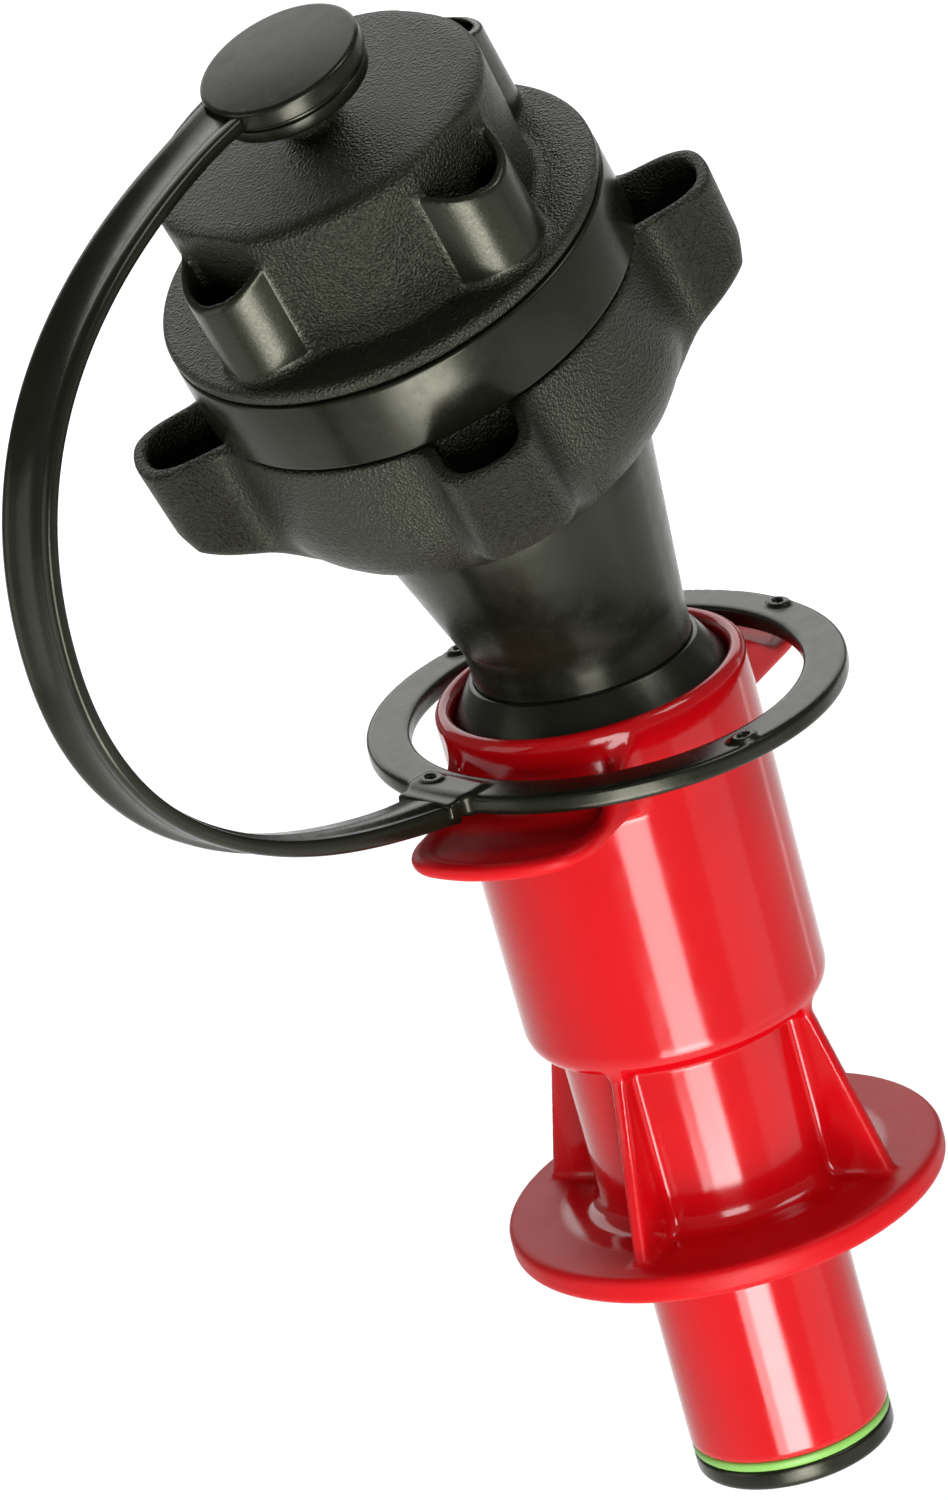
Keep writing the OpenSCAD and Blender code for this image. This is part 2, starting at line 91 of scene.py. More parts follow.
def outline(u, v, points):
    """Distance to a closed outline in a plane, negative inside."""
    best = np.full(u.shape, 1e9)
    inside = np.zeros(u.shape, bool)
    for (ax, ay), (bx, by) in zip(points, points[1:] + points[:1]):
        ex, ey = bx - ax, by - ay
        wx, wy = u - ax, v - ay
        t = np.clip((wx * ex + wy * ey) / (ex * ex + ey * ey), 0, 1)
        best = np.minimum(best, (wx - t * ex) ** 2 + (wy - t * ey) ** 2)
        crosses = (ay > v) != (by > v)
        if ey:
            inside ^= crosses & (u < ax + (v - ay) * ex / ey)
    return np.sqrt(best) * np.where(inside, -1, 1)


def about(x, y, degrees):
    """Coordinates along and across a bearing."""
    a = math.radians(degrees)
    return x * math.cos(a) + y * math.sin(a), -x * math.sin(a) + y * math.cos(a)


# ---------------------------------------------------------------- meshing


def sample(field, low, high, step, block=8):
    """The field on a grid. Far from the surface only the middle of each block is worked out."""
    low, high = np.array(low, float), np.array(high, float)
    blocks = np.ceil((high - low) / step / block).astype(int)
    counts = blocks * block
    axes = [low[i] + step * np.arange(counts[i]) for i in range(3)]
    mids = [low[i] + step * (block * np.arange(blocks[i]) + (block - 1) / 2) for i in range(3)]
    mx, my, mz = np.meshgrid(*mids, indexing="ij")
    coarse = field(mx.ravel(), my.ravel(), mz.ravel()).reshape(mx.shape)
    values = coarse.repeat(block, 0).repeat(block, 1).repeat(block, 2).astype(np.float32)
    reach = step * block * 0.5 * math.sqrt(3) * 1.25 + 1.5
    near = np.argwhere(np.abs(coarse) < reach)
    cell = np.stack(np.meshgrid(*[np.arange(block)] * 3, indexing="ij"), -1).reshape(-1, 3)
    for part in np.array_split(near, max(1, len(near) // 1500)):
        index = (part[:, None, :] * block + cell[None]).reshape(-1, 3)
        x, y, z = (axes[i][index[:, i]] for i in range(3))
        values[index[:, 0], index[:, 1], index[:, 2]] = field(x, y, z)
    return values, low


def nets(field, low, high, step, pulls=3):
    """Quads on the field's zero surface, with each corner pulled on to it."""
    values, low = sample(field, low, high, step)
    sign = values < 0
    flags = np.zeros([n - 1 for n in sign.shape], np.int8)
    corners = [(i, j, k) for i in (0, 1) for j in (0, 1) for k in (0, 1)]
    for i, j, k in corners:
        flags += sign[i : i + flags.shape[0], j : j + flags.shape[1], k : k + flags.shape[2]]
    active = np.argwhere((flags > 0) & (flags < 8))
    at = {c: values[tuple((active + c).T)].astype(float) for c in corners}
    total, hits = np.zeros((len(active), 3)), np.zeros(len(active))
    for a in corners:
        for axis in range(3):
            if a[axis]:
                continue
            b = tuple(c + (n == axis) for n, c in enumerate(a))
            fa, fb = at[a], at[b]
            cut = (fa < 0) != (fb < 0)
            t = np.where(cut, fa / np.where(cut, fa - fb, 1), 0)
            point = np.array(a, float) + np.outer(t, np.eye(3)[axis])
            total += point * cut[:, None]
            hits += cut
    verts = low + step * (active + total / hits[:, None])
    number = np.full(flags.shape, -1, np.int64)
    number[tuple(active.T)] = np.arange(len(active))
    quads = []
    for axis in range(3):
        u, v = (axis + 1) % 3, (axis + 2) % 3
        start = [slice(None)] * 3
        start[axis] = slice(0, -1)
        end = [slice(None)] * 3
        end[axis] = slice(1, None)
        change = sign[tuple(start)] != sign[tuple(end)]
        where = np.argwhere(change)
        ok = (where[:, u] > 0) & (where[:, v] > 0)
        ok &= (where[:, u] < sign.shape[u] - 1) & (where[:, v] < sign.shape[v] - 1)
        where = where[ok]
        ring = []
        for du, dv in ((1, 1), (0, 1), (0, 0), (1, 0)):
            c = where.copy()
            c[:, u] -= du
            c[:, v] -= dv
            ring.append(number[tuple(c.T)])
        faces = np.stack(ring, 1)
        solid_first = sign[tuple(where.T)]
        faces[~solid_first] = faces[~solid_first][:, ::-1]
        quads.append(faces)
    eps = 0.02
    for _ in range(pulls):
        x, y, z = verts.T
        value = field(x, y, z)
        slope = np.stack(
            [
                (field(x + eps, y, z) - field(x - eps, y, z)),
                (field(x, y + eps, z) - field(x, y - eps, z)),
                (field(x, y, z + eps) - field(x, y, z - eps)),
            ],
            1,
        ) / (2 * eps)
        size = np.maximum((slope**2).sum(1), 0.2)
        move = -(value / size)[:, None] * slope
        length = np.linalg.norm(move, axis=1)
        move *= np.minimum(1, 0.5 * step / np.maximum(length, 1e-9))[:, None]
        verts += move
    return verts, np.concatenate(quads)


def make(name, verts, faces, place=None):
    """A smooth-shaded mesh object from points in millimetres."""
    verts = np.asarray(verts, float)
    if place is not None:
        verts = verts @ np.array(place.to_3x3()).T + np.array(place.translation)
    mesh = bpy.data.meshes.new(name)
    if isinstance(faces, np.ndarray):
        mesh.vertices.add(len(verts))
        mesh.vertices.foreach_set("co", (verts * MM).astype(np.float32).ravel())
        mesh.loops.add(faces.size)
        mesh.loops.foreach_set("vertex_index", faces.astype(np.int32).ravel())
        mesh.polygons.add(len(faces))
        mesh.polygons.foreach_set("loop_start", np.arange(0, faces.size, 4, dtype=np.int32))
        mesh.update(calc_edges=True)
        mesh.validate()
    else:
        mesh.from_pydata((verts * MM).tolist(), [], faces)
    mesh.polygons.foreach_set("use_smooth", [True] * len(mesh.polygons))
    obj = bpy.data.objects.new(name, mesh)
    bpy.context.scene.collection.objects.link(obj)
    return obj


def moulded(name, field, low, high, step, place=None):
    verts, faces = nets(field, low, high, step)
    return make(name, verts, faces, place)


def rounded(points, radii, steps=5):
    """A closed profile with each corner replaced by an arc of its own radius."""
    out = []
    n = len(points)
    for i in range(n):
        p, a, b = (np.array(points[(i + d) % n], float) for d in (0, -1, 1))
        r = radii[i] if isinstance(radii, (list, tuple)) else radii
        u, v = (a - p) / np.linalg.norm(a - p), (b - p) / np.linalg.norm(b - p)
        half = math.acos(max(-1, min(1, float(u @ v)))) / 2
        if r <= 0 or half > math.pi / 2 - 0.02:
            out.append(tuple(p))
            continue
        back = min(r / math.tan(half), 0.49 * np.linalg.norm(a - p), 0.49 * np.linalg.norm(b - p))
        for k in range(steps + 1):
            t = k / steps
            q = (1 - t) ** 2 * (p + u * back) + 2 * t * (1 - t) * p + t * t * (p + v * back)
            out.append(tuple(q))
    return out


def lathe(name, profile, place=None, around=160):
    """A closed (radius, height) profile turned about the Z axis."""
    n = len(profile)
    verts, faces = [], []
    for i in range(around):
        a = 2 * math.pi * i / around
        verts += [(r * math.cos(a), r * math.sin(a), z) for r, z in profile]
    for i in range(around):
        j = (i + 1) % around
        for k in range(n):
            m = (k + 1) % n
            quad = [i * n + k, j * n + k, j * n + m, i * n + m]
            faces.append(quad[::-1])
    return tidy_mesh(make(name, verts, faces, place))


def tidy_mesh(obj):
    """Joins corners that meet and turns all faces outwards."""
    bm = bmesh.new()
    bm.from_mesh(obj.data)
    bmesh.ops.remove_doubles(bm, verts=bm.verts, dist=1e-7)
    bmesh.ops.dissolve_degenerate(bm, edges=bm.edges, dist=1e-8)
    bmesh.ops.recalc_face_normals(bm, faces=bm.faces)
    bm.to_mesh(obj.data)
    bm.free()
    return obj


# ---------------------------------------------------------------- materials


def linear(r, g, b):
    def one(c):
        c /= 255
        return c / 12.92 if c <= 0.04045 else ((c + 0.055) / 1.055) ** 2.4

    return (one(r), one(g), one(b), 1.0)


class Nodes:
    """Short calls for one material's nodes. Lengths are in millimetres on the piece."""

    def __init__(self, name, colour, roughness, **sockets):
        self.material = bpy.data.materials.new(name)
        self.material.use_nodes = True
        self.tree = self.material.node_tree
        self.shader = self.tree.nodes["Principled BSDF"]
        self.shader.inputs["Base Color"].default_value = colour
        self.shader.inputs["Roughness"].default_value = roughness
        for key, value in sockets.items():
            self.shader.inputs[key.replace("_", " ")].default_value = value
        coords = self.tree.nodes.new("ShaderNodeTexCoord")
        scale = self.tree.nodes.new("ShaderNodeVectorMath")
        scale.operation = "SCALE"
        scale.inputs["Scale"].default_value = 1000
        self.link(coords.outputs["Object"], scale.inputs[0])
        self.place = scale.outputs[0]
        self.normal = None

    def link(self, a, b):
        self.tree.links.new(a, b)

    def stretch(self, x, y, z):
        node = self.tree.nodes.new("ShaderNodeVectorMath")
        node.operation = "MULTIPLY"
        self.link(self.place, node.inputs[0])
        node.inputs[1].default_value = (x, y, z)
        return node.outputs[0]

    def noise(self, scale, detail=2.0, rough=0.5, place=None):
        node = self.tree.nodes.new("ShaderNodeTexNoise")
        node.inputs["Scale"].default_value = scale
        node.inputs["Detail"].default_value = detail
        node.inputs["Roughness"].default_value = rough
        self.link(place or self.place, node.inputs["Vector"])
        return node.outputs["Fac"]

    def cells(self, scale, feature="F1"):
        node = self.tree.nodes.new("ShaderNodeTexVoronoi")
        node.feature = feature
        node.inputs["Scale"].default_value = scale
        self.link(self.place, node.inputs["Vector"])
        return node.outputs["Distance"]

    def along_axis(self, operation):
        """Distance along the nut's axis (DOT_PRODUCT), or out from it (CROSS_PRODUCT)."""
        shift = self.tree.nodes.new("ShaderNodeVectorMath")
        shift.operation = "SUBTRACT"
        self.link(self.place, shift.inputs[0])
        shift.inputs[1].default_value = (0, 0, BEND_Z)
        node = self.tree.nodes.new("ShaderNodeVectorMath")
        node.operation = operation
        self.link(shift.outputs[0], node.inputs[0])
        node.inputs[1].default_value = (-math.sin(BEND), 0, math.cos(BEND))
        if operation == "DOT_PRODUCT":
            return node.outputs["Value"]
        length = self.tree.nodes.new("ShaderNodeVectorMath")
        length.operation = "LENGTH"
        self.link(node.outputs[0], length.inputs[0])
        return length.outputs["Value"]

    def from_spout(self):
        """Distance from the spout's axis."""
        node = self.tree.nodes.new("ShaderNodeVectorMath")
        node.operation = "LENGTH"
        self.link(self.stretch(1, 1, 0), node.inputs[0])
        return node.outputs["Value"]

    def remap(self, value, a, b, c, d):
        node = self.tree.nodes.new("ShaderNodeMapRange")
        self.link(value, node.inputs["Value"])
        for key, x in zip(("From Min", "From Max", "To Min", "To Max"), (a, b, c, d)):
            node.inputs[key].default_value = x
        return node.outputs["Result"]

    def math(self, operation, a, b):
        node = self.tree.nodes.new("ShaderNodeMath")
        node.operation = operation
        for socket, value in zip(node.inputs, (a, b)):
            if isinstance(value, (int, float)):
                socket.default_value = value
            else:
                self.link(value, socket)
        return node.outputs[0]

    def mix(self, factor, a, b):
        node = self.tree.nodes.new("ShaderNodeMix")
        node.data_type = "RGBA"
        self.link(factor, node.inputs["Factor"])
        for socket, value in ((node.inputs["A"], a), (node.inputs["B"], b)):
            if isinstance(value, tuple):
                socket.default_value = value
            else:
                self.link(value, socket)
        return node.outputs["Result"]

    def bump(self, height, distance, strength=1.0):
        node = self.tree.nodes.new("ShaderNodeBump")
        node.inputs["Distance"].default_value = distance * MM
        node.inputs["Strength"].default_value = strength
        self.link(height, node.inputs["Height"])
        if self.normal is not None:
            self.link(self.normal, node.inputs["Normal"])
        self.normal = node.outputs["Normal"]
        return self

    def colour(self, value):
        self.link(value, self.shader.inputs["Base Color"])
        return self

    def rough(self, value):
        self.link(value, self.shader.inputs["Roughness"])
        return self

    def done(self):
        if self.normal is not None:
            self.link(self.normal, self.shader.inputs["Normal"])
        return self.material


# Tint of the reflections on the black plastic
OLIVE = (1.0, 1.0, 0.8, 1)
# Distance from the spout's axis where the gloss ends and the satin of the flange and ears begins
GLOSS_ENDS, SATIN_BEGINS = 17.6, 18.6
RED_SPECULAR = 0.42


def red_plastic():
    """Glossy on the barrel, waist and tip, satin on the flange and the ears."""
    m = Nodes("red_gloss_plastic", linear(179, 5, 13), 0.2, Specular_IOR_Level=RED_SPECULAR)
    m.shader.inputs["Subsurface Weight"].default_value = 0.06
    m.shader.inputs["Subsurface Radius"].default_value = (1.0, 0.2, 0.15)
    m.shader.inputs["Subsurface Scale"].default_value = 1.0 * MM
    flow = m.noise(0.05, 3.0, 0.5)
    m.colour(m.mix(m.remap(flow, 0.3, 0.7, 0, 1), linear(174, 3, 11), linear(184, 6, 15)))
    satin = m.remap(m.from_spout(), GLOSS_ENDS, SATIN_BEGINS, 0, 0.3)
    m.rough(m.math("ADD", m.remap(m.noise(0.35, 6.0, 0.7), 0.3, 0.75, 0.09, 0.17), satin))
    specular = m.math("SUBTRACT", RED_SPECULAR, m.math("MULTIPLY", satin, 0.8))
    m.link(specular, m.shader.inputs["Specular IOR Level"])
    m.bump(m.noise(0.16, 3.0, 0.45), 0.05, 0.35)
    grain = m.math("ADD", 0.1, m.math("MULTIPLY", 2.4, satin))
    m.bump(m.math("MULTIPLY", m.noise(4.0, 3.0, 0.55), grain), 0.05, 0.6)
    return m.done()


def black_satin():
    """Smooth black plastic with faint flow marks."""
    m = Nodes("black_satin_plastic", linear(12, 13, 7), 0.27, Specular_IOR_Level=0.36)
    m.shader.inputs["Specular Tint"].default_value = OLIVE
    flow = m.remap(m.noise(0.12, 4.0, 0.55), 0.3, 0.7, 0, 1)
    m.colour(m.mix(flow, linear(12, 13, 7), linear(22, 23, 15)))
    m.rough(m.remap(m.noise(0.5, 6.0, 0.7), 0.3, 0.75, 0.19, 0.33))
    m.bump(m.noise(0.14, 3.0, 0.5), 0.07, 0.4)
    m.bump(m.noise(6.0, 3.0, 0.6), 0.01, 0.5)
    return m.done()


def black_grained(name, depth, place):
    """Spark-eroded mould grain, stronger or weaker where `place` says."""
    m = Nodes(name, linear(14, 15, 8), 0.36, Specular_IOR_Level=0.42)
    m.shader.inputs["Specular Tint"].default_value = OLIVE
    amount = place(m)
    pebble = m.math("ADD", m.cells(3.0), m.noise(4.2, 3.0, 0.6))
    flow = m.remap(m.noise(0.1, 4.0, 0.55), 0.3, 0.7, 0, 1)
    m.colour(m.mix(flow, linear(16, 17, 10), linear(26, 27, 18)))
    rough = m.remap(m.noise(2.6, 3.0, 0.6), 0.3, 0.7, 0.22, 0.34)
    m.rough(m.math("ADD", rough, m.math("MULTIPLY", amount, 0.06)))
    m.bump(m.noise(0.15, 3.0, 0.5), 0.05, 0.4)
    m.bump(m.math("MULTIPLY", pebble, amount), depth, 0.9)
    return m.done()


def cap_grain(m):
    """Full grain on the dome and the flange, almost none on the grip lobes."""
    out = m.remap(m.along_axis("CROSS_PRODUCT"), 19.1, 19.6, 0, 1)
    above = m.remap(m.along_axis("DOT_PRODUCT"), 46.2, 47.2, 0, 1)
    return m.math("SUBTRACT", 1.0, m.math("MULTIPLY", 0.97, m.math("MULTIPLY", out, above)))


def nut_grain(m):
    """A coarser grain on the wings than on the barrel."""
    return m.remap(m.along_axis("CROSS_PRODUCT"), 26.0, 28.5, 0.8, 2.2)


def rubber(name, colour, rough):
    """Matt rubber with a fine tooth."""
    m = Nodes(name, linear(*colour), rough)
    m.rough(m.remap(m.noise(1.5, 5.0, 0.6), 0.3, 0.7, rough - 0.08, rough + 0.1))
    m.bump(m.noise(3.0, 4.0, 0.6), 0.02, 0.6)
    return m.done()


def steel():
    """Drawn steel, its marks along the spout's axis."""
    m = Nodes("drawn_steel", linear(182, 184, 188), 0.3, Metallic=1.0)
    m.rough(m.remap(m.noise(2.0, 5.0, 0.6, m.stretch(1, 1, 0.05)), 0.3, 0.7, 0.22, 0.42))
    m.bump(m.noise(6.0, 3.0, 0.6, m.stretch(1, 1, 0.05)), 0.006, 0.6)
    return m.done()


def pale_plastic():
    """Uncoloured, slightly translucent plastic."""
    m = Nodes("natural_plastic", linear(214, 211, 198), 0.42)
    m.shader.inputs["Subsurface Weight"].default_value = 0.2
    m.shader.inputs["Subsurface Scale"].default_value = MM
    m.rough(m.remap(m.noise(1.0, 4.0, 0.6), 0.3, 0.7, 0.36, 0.5))
    m.bump(m.noise(2.0, 3.0, 0.6), 0.01, 0.5)
    return m.done()


RED = red_plastic()
SATIN = black_satin()
GRAIN_CAP = black_grained("black_grained_cap", 0.2, cap_grain)
GRAIN_NUT = black_grained("black_grained_nut", 0.2, nut_grain)
SEAL_BLACK = rubber("black_rubber", (24, 24, 23), 0.55)
SEAL_GREEN = rubber("green_rubber", (118, 170, 78), 0.42)
STEEL = steel()
PALE = pale_plastic()

SLOT_MATERIAL = {
    "red_gloss": RED,
    "black_satin": SATIN,
    "black_grained": GRAIN_CAP,
    "black_rubber": SEAL_BLACK,
    "green_rubber": SEAL_GREEN,
    "steel": STEEL,
    "white_plastic": PALE,
}


def finish_piece(obj, material, slot, body, *nodes):
    """Gives a piece its material and its body (none if no body is given), and hides the CAD nodes it
    stands for.
    """
    obj.data.materials.append(material)
    if body:
        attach(obj, body)
    if nodes:
        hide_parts(*nodes)
    return obj


# ---------------------------------------------------------------- spout sleeve

SLEEVE_TURN = 11.5
EAR_REACH, EAR_HALF, EAR_WALL = 31.2, 11.0, 1.4
EAR_Z, EAR_RIM = 81.4, 83.4
# Radius of the arc in front of an ear, and where its crest starts to fall
EAR_FRONT = 21.0
CREST_E, CREST_Z, CREST_FALL = 12, 89.6, 0.66
RIB_HALF, RIB_SLOPE = 0.8, 0.262
TIP_R, FLANGE_R, WAIST_R = 11.2, 24.35, 13.7
BARREL_R0, BARREL_R1 = 16.85, 17.2
SLEEVE_TOP = 91.2
TIP_BORE, WAIST_BORE, BARREL_BORE = 9.7, 11.35, 15.35


def ear_plan(e, across):
    """Plan of an ear: straight parallel sides, and an arc in front."""
    side = np.abs(across) - EAR_HALF
    front = np.hypot(e - (EAR_REACH - EAR_FRONT), across) - EAR_FRONT
    return smax(side, front, 3.6)


def ear_field(e, across, z):
    """A finger ear, open below, whose roof falls outwards to a rim."""
    plan = ear_plan(e, across)
    crest = CREST_Z - CREST_FALL * np.maximum(e - CREST_E, 0)
    roof = smin(z - EAR_RIM, (z - crest) * 0.83, 1.0)
    shell = smax(smax(plan, roof, 0.9), EAR_Z - z, 1.4)
    hollow = smax(plan + EAR_WALL, EAR_Z + 1.3 - z, 2.0)
    return smax(smax(shell, -hollow, 0.5), -e, 0.5)


def rib_field(e, across, z):
    """A thin rib that tapers up from the seat flange to the barrel."""
    edge = np.minimum(20.9 - (z - 31.5) * RIB_SLOPE, 21.1)
    line = (e - edge) * 0.967
    ends = smax(12.5 - e, np.abs(z - 40) - 11, 0.2)
    return smax(smax(np.abs(across) - RIB_HALF, line, 0.55), ends, 0.2)


def sleeve_field(x, y, z):
    rho = np.hypot(x, y)
    body = rod(rho, z, TIP_R, 0.05, 28.5, 0.35)
    body = smin(body, rod(rho, z, FLANGE_R, 27.0, 30.2, 0.95), 0.7)
    body = smin(body, rod(rho, z, WAIST_R, 28, 52, 0.3), 2.2)
    body = smin(body, taper(rho, z, BARREL_R0, BARREL_R1, 50, SLEEVE_TOP, 3.2, 1.6), 0.5)
    for k in range(4):
        e, across = about(x, y, SLEEVE_TURN + 90 * k)
        body = smin(body, rib_field(e, across, z), 0.9)
    for k in (0, 180):
        e, across = about(x, y, SLEEVE_TURN + k)
        body = smin(body, ear_field(e, across, z), 1.4)
    bore = smin(rho - TIP_BORE, np.maximum(rho - WAIST_BORE, 31 - z), 0.3)
    bore = smin(bore, smax(rho - BARREL_BORE, 52 - z, 0.4), 0.3)
    return smax(body, -bore, 1.3)


sleeve = moulded("sleeve_moulding", sleeve_field, (-33, -27, -1), (33, 27, 93), 0.42)
finish_piece(sleeve, RED, "red_gloss", "sleeve", "spout_sleeve")

# ---------------------------------------------------------------- union nut

NUT_R, NUT_TOP = 25.0, 35.4
WING_TURN, WING_REACH, WING_WALL = 48, 34.5, 1.3
SEAT_BORE, THREAD_R, SHOULDER_S = 19.4, 21.3, 17.4
NUT_PROFILE = [
    (14.0, 14.3),
    (16.9, 14.3),
    (18.6, 15.3),
    (20.15, 16.45),
    (21.5, 17.7),
    (22.63, 19.05),
    (23.53, 20.4),
    (24.2, 21.8),
    (24.67, 23.3),
    (24.93, 25.0),
    (NUT_R, 26.5),
    (NUT_R, NUT_TOP),
    (14.0, NUT_TOP),
]
WING_SIDE = [
    (15, 15.0),
    (23.7, 19.6),
    (32.7, 24.0),
    (33.8, 26.4),
    (WING_REACH, 35.6),
    (WING_REACH, 60),
    (15, 60),
]


def wing_plan(e, across):
    """Plan of a wing: sides that draw in a little, and a round end."""
    side = np.abs(across) - (5.9 - 0.05 * np.maximum(e - 22, 0))
    return smax(side, e - WING_REACH, 5.6)


def nut_field(x, y, z):
    rho = np.hypot(x, y)
    body = outline(rho, z, NUT_PROFILE)
    hollow = None
    for k in range(4):
        e, across = about(x, y, WING_TURN + 90 * k)
        plan = wing_plan(e, across)
        side = outline(e, z, WING_SIDE)
        wing = smax(smax(plan, side, 1.8), 15 - e, 1.0)
        body = smin(body, wing, 2.6)
        pocket = smax(smax(plan + WING_WALL, side + 1.5, 1.5), 23.4 - e, 0.8)
        hollow = pocket if hollow is None else np.minimum(hollow, pocket)
    body = smax(body, z - NUT_TOP, 0.7)
    body = smax(body, -hollow, 0.6)
    bore = np.minimum(rho - 16.9, np.maximum(rho - SEAT_BORE, SHOULDER_S - z))
    thread = np.maximum(np.maximum(rho - THREAD_R, rho - z + 1.0), SHOULDER_S - z)
    bore = np.minimum(bore, thread)
    return smax(body, -bore, 0.4)


nut = moulded("nut_moulding", nut_field, (-35.5, -35.5, 12.5), (35.5, 35.5, 37), 0.42, TURN)
finish_piece(nut, GRAIN_NUT, "black_grained", "nut", "union_nut")

band = lathe(
    "band",
    rounded(
        [
            (17.9, 23),
            (21.2, 23),
            (21.2, 35.55),
            (24.95, 35.55),
            (24.95, 44.2),
            (21.2, 44.2),
            (21.2, 43.5),
            (17.9, 43.5),
        ],
        [0.3, 0.3, 0.1, 0.45, 0.45, 0.2, 0.2, 0.3],
    ),
    TURN,
)
finish_piece(band, SATIN, "black_satin", "nut", "adapter_ring")

# ---------------------------------------------------------------- cap

LOBE_TURN, LOBE_REACH, LOBE_ROOT, LOBE_WALL = 84.5, 23.75, 6.3, 1.0
CAP_R, DOME_FOOT_R, DOME_R, DOME_TOP = 24.93, 18.2, 19.0, 62.6


def lobe_plan(e, across, wall):
    """Plan of a grip lobe: flat sides that draw in towards a round nose."""
    side = (np.abs(across) - LOBE_ROOT + 0.42 * (e - 18)) * 0.922
    return smax(side + wall, e - LOBE_REACH + wall, 4.6 - wall)


def cap_field(x, y, z):
    rho = np.hypot(x, y)
    flange = rod(rho, z, CAP_R, 44.35, 46.15, 0.75)
    dome = taper(rho, z, DOME_FOOT_R, DOME_R, 44.5, DOME_TOP, 0.3, 1.8)
    dome = smax(dome, np.sqrt(rho * rho + (z + 87) ** 2) - 150.1, 1.8)
    body = smin(flange, dome, 1.4)
    hollow = None
    for k in range(4):
        e, across = about(x, y, LOBE_TURN + 90 * k)
        plan = lobe_plan(e, across, 0)
        roof = (z - (58.6 - 0.48 * (e - 18.6))) * 0.9
        lobe = smax(smax(plan, roof, 0.35), smax(16.5 - e, 45 - z, 0.5), 0.5)
        body = smin(body, lobe, 0.9)
        pocket = smax(smax(lobe_plan(e, across, LOBE_WALL), DOME_FOOT_R - e, 1.0), 47.4 - z, 2.0)
        hollow = pocket if hollow is None else np.minimum(hollow, pocket)
    body = smax(body, -hollow, 0.35)
    body = smin(body, rod(rho, z, 17.6, 32, 45, 0.6), 0.3)
    body = smin(body, rod(rho, z, 3.1, 60, 67.2, 0.2), 1.0)
    body = smin(body, rod(rho, z, 4.1, 67.0, 68.4, 0.5), 0.2)
    bore = np.minimum(rod(rho, z, 15.6, 25, 46.2, 0.3), rod(rho, z, 14.6, 45.8, 60.2, 1.5))
    return smax(body, -bore, 0.5)


cap = moulded("cap_moulding", cap_field, (-26, -26, 31), (26, 26, 69.5), 0.36, TURN)
finish_piece(cap, GRAIN_CAP, "black_grained", "cap", "cap")

# ---------------------------------------------------------------- tether

STRAP_Y, STRAP_HALF, STRAP_HALF_T = 2.7, 3.4, 1.0
UPPER = [(-27, 168.2), (-52, 164.2), (-72.8, 153), (-72.8, 128)]
LOWER = [(-72.8, 128), (-72.8, 104), (-50.5, 92.4), (-25.5, 87.6)]


def curve(p, t):
    """Point of a cubic curve, and its direction."""
    p = [np.array(q, float) for q in p]
    s = 1 - t
    at = s**3 * p[0] + 3 * s**2 * t * p[1] + 3 * s * t * t * p[2] + t**3 * p[3]
    d = s**2 * (p[1] - p[0]) + 2 * s * t * (p[2] - p[1]) + t * t * (p[3] - p[2])
    return at, d / np.linalg.norm(d)


def strap_section(half, deep):
    """Section of the strap: a step along the edges of its outer face, a shallow channel inside."""
    w, h = half, STRAP_HALF_T
    low = -h - deep
    side = [(-w + 1.5, h), (-w + 1.2, h - 0.35), (-w + 0.4, h - 0.4), (-w + 0.1, h - 0.55)]
    side += [(-w, h - 0.85), (-w, low + 0.5), (-w + 0.15, low + 0.15), (-w + 0.5, low)]
    side += [(-w + 1.3, low), (-w + 1.8, low + 0.35)]
    return side + [(-x, z) for x, z in reversed(side)]


def strap(name, route, wide_at_start, wide_at_end, deep, steps=90):
    """The band swept along a route, a little wider at its ends and deeper towards the last one."""
    verts, faces = [], []
    count = 0
    for i in range(steps + 1):
        t = i / steps
        at, d = curve(route, t)
        near0, near1 = max(0, 1 - t / 0.12), max(0, 1 - (1 - t) / 0.12)
        half = STRAP_HALF + wide_at_start * near0**2 + wide_at_end * near1**2
        section = strap_section(half, deep * max(0, 1 - (1 - t) / 0.5))
        count = len(section)
        for across, off in section:
            verts.append((at[0] - d[1] * off, STRAP_Y - across, at[1] + d[0] * off))
    for i in range(steps):
        for k in range(count):
            m = (k + 1) % count
            faces.append([i * count + k, (i + 1) * count + k, (i + 1) * count + m, i * count + m])
    faces.append(list(range(count)))
    faces.append([steps * count + k for k in range(count)][::-1])
    obj = tidy_mesh(make(name, verts, faces))
    for face in obj.data.polygons:
        face.use_smooth = len(face.vertices) == 4
    ends = [face for face in obj.data.polygons if len(face.vertices) > 4]
    caps = {key for face in ends for key in face.edge_keys}
    for edge in obj.data.edges:
        edge.use_edge_sharp = edge.key in caps
    return obj


upper = strap("strap_upper_moulding", UPPER, 0.5, 0.0, 0.0)
finish_piece(upper, SATIN, "black_satin", None, "strap_upper")
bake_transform(upper)
lower = strap("strap_lower_moulding", LOWER, 0.0, 0.6, 0.7)
finish_piece(lower, SATIN, "black_satin", None, "strap_lower")
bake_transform(lower)

disc = lathe(
    "disc_moulding",
    rounded(
        [
            (0, 70.6),
            (9.0, 70.55),
            (9.0, 68.35),
            (8.15, 68.1),
            (8.15, 67.7),
            (8.45, 67.55),
            (8.45, 66.0),
            (3.4, 66.0),
            (3.4, 66.7),
            (4.4, 66.7),
            (4.4, 68.75),
            (0, 68.75),
        ],
        [0, 0.55, 0.3, 0.15, 0.15, 0.2, 0.5, 0.2, 0.1, 0.1, 0.2, 0],
    ),
    TURN,
)
finish_piece(disc, SATIN, "black_satin", "tether_head", "tether_disc")

